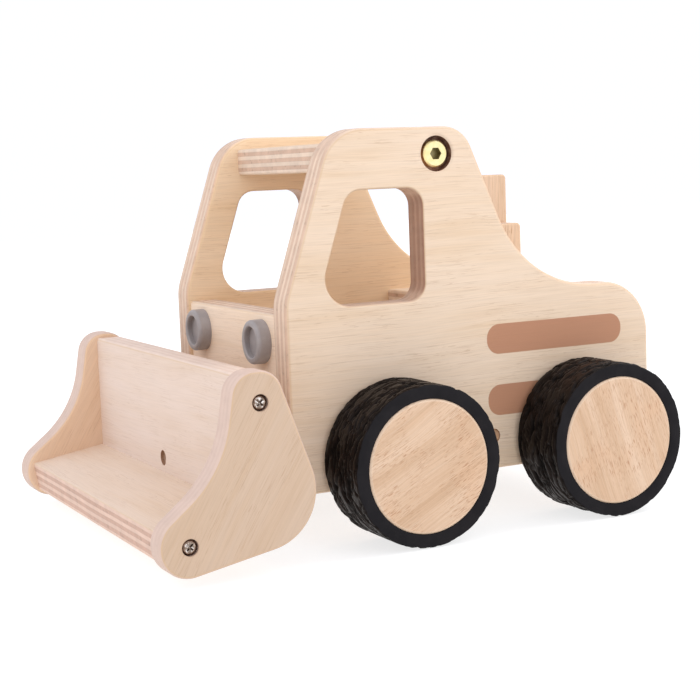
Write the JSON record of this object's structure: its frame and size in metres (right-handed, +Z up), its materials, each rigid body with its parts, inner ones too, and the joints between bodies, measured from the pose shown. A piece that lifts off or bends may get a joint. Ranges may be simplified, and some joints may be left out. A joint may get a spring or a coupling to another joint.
{
  "type": "toy wheel loader",
  "caption": "Plywood toy wheel loader with an open cab, rubber-tyred wooden wheels and a front shovel that a hand lever behind the cab lifts.",
  "frame": {"origin": "centre of the bottom of the whole object's box, on the surface it stands on", "axes": "-Y is the front (shovel), +X is the vehicle's left side, +Z is up; the toy is symmetric about the plane X = 0"},
  "size_m": [0.1744, 0.2292, 0.1543],
  "materials": {
    "plywood": "clear matt lacquer on birch plywood",
    "wheel_wood": "smooth matt solid wood",
    "dowel_wood": "fluted beech, unfinished",
    "tyre_rubber": "matt black rubber, layered tread",
    "brass": "bright brass",
    "steel": "zinc plated",
    "dark_nickel": "dark nickel",
    "grey_silicone": "soft matt grey",
    "nylon": "natural nylon"
  },
  "bodies": {
    "chassis": {"wall_left": "plywood", "wall_right": "plywood", "roof_board": "plywood", "front_panel": "plywood", "rear_deck": "plywood", "rear_panel": "plywood", "roof_dowels": "dowel_wood", "front_panel_dowels": "dowel_wood", "deck_dowels": "dowel_wood", "rear_panel_dowels": "dowel_wood", "roof_bolts": "brass", "roof_cross_nuts": "steel", "headlight_left": "grey_silicone", "headlight_right": "grey_silicone", "pivot_rod": "dowel_wood", "pivot_spacers": "nylon"},
    "front_axle_set": {"front_axle": "steel", "front_axle_washers": "nylon", "wheel_front_left": "wheel_wood", "wheel_front_right": "wheel_wood", "tyre_front_left": "tyre_rubber", "tyre_front_right": "tyre_rubber"},
    "rear_axle_set": {"rear_axle": "steel", "rear_axle_washers": "nylon", "wheel_rear_left": "wheel_wood", "wheel_rear_right": "wheel_wood", "tyre_rear_left": "tyre_rubber", "tyre_rear_right": "tyre_rubber"},
    "shovel_arm": {"shovel_plate_left": "plywood", "shovel_plate_right": "plywood", "shovel_back": "plywood", "shovel_floor": "plywood", "shovel_screws_left": "dark_nickel", "shovel_screws_right": "dark_nickel", "shovel_dowels": "dowel_wood", "lift_lever": "plywood", "arm_cheek_left": "plywood", "arm_cheek_right": "plywood", "arm_pins": "dowel_wood", "arm_screw": "steel", "arm_dowels": "dowel_wood"}
  },
  "joints": [
    {"name": "front_axle_spin", "type": "hinge", "parent": "chassis", "child": "front_axle_set", "pos_m": [0, -0.0082, 0.03035], "axis": [1, 0, 0], "continuous": true},
    {"name": "rear_axle_spin", "type": "hinge", "parent": "chassis", "child": "rear_axle_set", "pos_m": [0, 0.0775, 0.03035], "axis": [1, 0, 0], "continuous": true},
    {"name": "shovel_lift", "type": "hinge", "parent": "chassis", "child": "shovel_arm", "pos_m": [0, 0.0378, 0.0324], "axis": [-1, 0, 0], "range_deg": [0, 17]}
  ]
}
